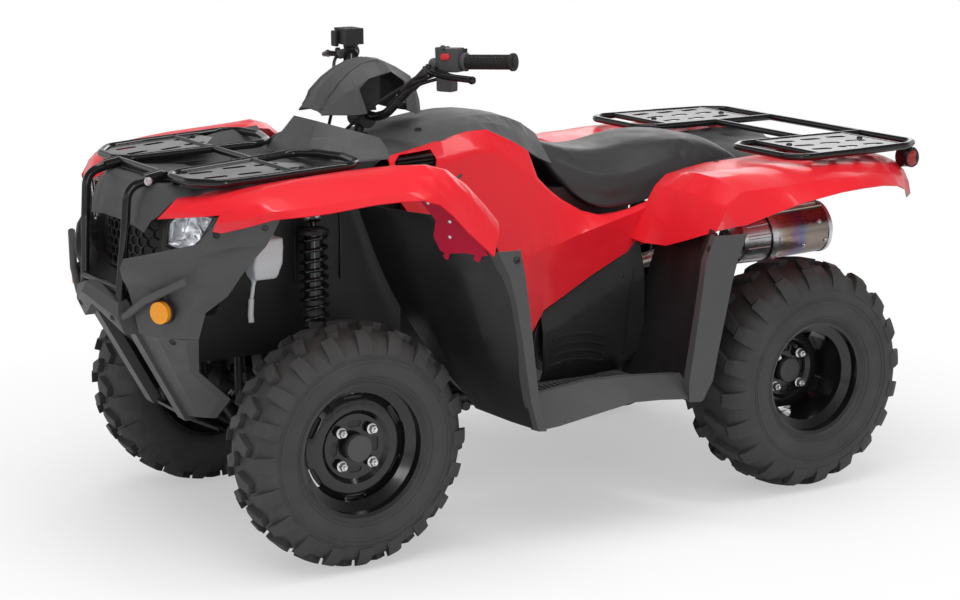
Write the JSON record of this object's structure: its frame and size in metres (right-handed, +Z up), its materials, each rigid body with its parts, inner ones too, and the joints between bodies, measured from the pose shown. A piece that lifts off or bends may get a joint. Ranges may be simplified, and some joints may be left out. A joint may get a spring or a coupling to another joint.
{
  "type": "utility quad bike",
  "caption": "Full-size utility quad bike with steered front wheels, solid rear axle, front and rear cargo racks, long saddle and footrests.",
  "frame": {"origin": "on the ground, under the middle of the whole vehicle", "axes": "+X to the rider's left, +Y to the rear, +Z up"},
  "size_m": [1.1786, 2.1586, 1.162],
  "materials": {
    "red_plastic": "glossy",
    "grey_plastic": "matte, fine grain",
    "black_plastic": "matte",
    "black_steel": "gloss black paint",
    "frame_steel": "satin black paint",
    "shock_steel": "gloss black spring",
    "lever_metal": "satin black",
    "engine_metal": "cast, dark",
    "exhaust_steel": "brushed, heat tinted",
    "tyre_rubber": "matte rubber",
    "grip_rubber": "matte rubber",
    "seat_cover": "grained vinyl",
    "lamp_clear": "clear lens",
    "lamp_red": "red lens",
    "lamp_amber": "amber lens",
    "bottle_white": "translucent"
  },
  "bodies": {
    "root": {"front_fenders": "red_plastic", "side_panels": "red_plastic", "rear_fenders": "red_plastic", "tank_cover": "grey_plastic", "column_shroud": "grey_plastic", "nose_panel": "grey_plastic", "front_side_covers": "grey_plastic", "guard_strips_front": "grey_plastic", "guard_strips_rear": "grey_plastic", "footrests": "grey_plastic", "bumper_guard": "grey_plastic", "nose_side_skirts": "grey_plastic", "bumper_bars": "grey_plastic", "rear_deck": "grey_plastic", "footwell_guards": "black_plastic", "rear_guards": "black_plastic", "engine_side_covers": "black_plastic", "front_grille": "black_plastic", "front_bumper": "black_steel", "front_rack": "black_steel", "rear_rack": "black_steel", "frame": "frame_steel", "suspension_arms": "frame_steel", "front_differential": "frame_steel", "swingarm": "frame_steel", "skid_plate": "frame_steel", "hitch": "frame_steel", "front_shocks": "shock_steel", "rear_shock": "shock_steel", "engine": "engine_metal", "radiator": "engine_metal", "muffler": "exhaust_steel", "exhaust_pipe": "exhaust_steel", "seat": "seat_cover", "headlights": "lamp_clear", "tail_lamps": "lamp_red", "side_reflectors": "lamp_amber", "overflow_bottle": "bottle_white"},
    "steering": {"steering_column": "frame_steel", "handlebar": "black_steel", "grips": "grip_rubber", "bar_controls": "black_plastic", "levers": "lever_metal", "handlebar_cowl": "grey_plastic", "control_cables": "grip_rubber"},
    "knuckle_left": {"knuckle_left": "frame_steel"},
    "knuckle_right": {"knuckle_right": "frame_steel"},
    "tie_rod_left": {"tie_rod_left": "frame_steel"},
    "tie_rod_right": {"tie_rod_right": "frame_steel"},
    "wheel_front_left": {"tyre_front_left": "tyre_rubber", "rim_front_left": "black_steel", "hub_front_left": "frame_steel"},
    "wheel_front_right": {"tyre_front_right": "tyre_rubber", "rim_front_right": "black_steel", "hub_front_right": "frame_steel"},
    "rear_wheels": {"tyres_rear": "tyre_rubber", "rims_rear": "black_steel", "rear_axle": "frame_steel"}
  },
  "joints": [
    {"name": "steer", "type": "hinge", "parent": "root", "child": "steering", "pos_m": [0, -0.53, 0.326], "axis": [0, 0.2781, 0.9606], "range_deg": [-28, 28]},
    {"name": "knuckle_left_turn", "type": "hinge", "parent": "root", "child": "knuckle_left", "pos_m": [0.345, -0.61, 0.283], "axis": [0, 0, 1], "range_deg": [-28, 28]},
    {"name": "knuckle_right_turn", "type": "hinge", "parent": "root", "child": "knuckle_right", "pos_m": [-0.345, -0.61, 0.283], "axis": [0, 0, 1], "range_deg": [-28, 28]},
    {"name": "tie_rod_left_eye", "type": "hinge", "parent": "knuckle_left", "child": "tie_rod_left", "pos_m": [0.36, -0.535, 0.292], "axis": [0, 0, 1], "range_deg": [-28, 28]},
    {"name": "tie_rod_right_eye", "type": "hinge", "parent": "knuckle_right", "child": "tie_rod_right", "pos_m": [-0.36, -0.535, 0.292], "axis": [0, 0, 1], "range_deg": [-28, 28]},
    {"name": "wheel_front_left_spin", "type": "hinge", "parent": "knuckle_left", "child": "wheel_front_left", "pos_m": [0.407, -0.61, 0.283], "axis": [1, 0, 0], "continuous": true},
    {"name": "wheel_front_right_spin", "type": "hinge", "parent": "knuckle_right", "child": "wheel_front_right", "pos_m": [-0.407, -0.61, 0.283], "axis": [1, 0, 0], "continuous": true},
    {"name": "rear_wheels_spin", "type": "hinge", "parent": "root", "child": "rear_wheels", "pos_m": [0, 0.657, 0.292], "axis": [1, 0, 0], "continuous": true}
  ],
  "couplings": [
    {"joint": "knuckle_left_turn", "follows": "steer", "ratio": 1},
    {"joint": "knuckle_right_turn", "follows": "steer", "ratio": 1},
    {"joint": "tie_rod_left_eye", "follows": "steer", "ratio": -1},
    {"joint": "tie_rod_right_eye", "follows": "steer", "ratio": -1}
  ]
}
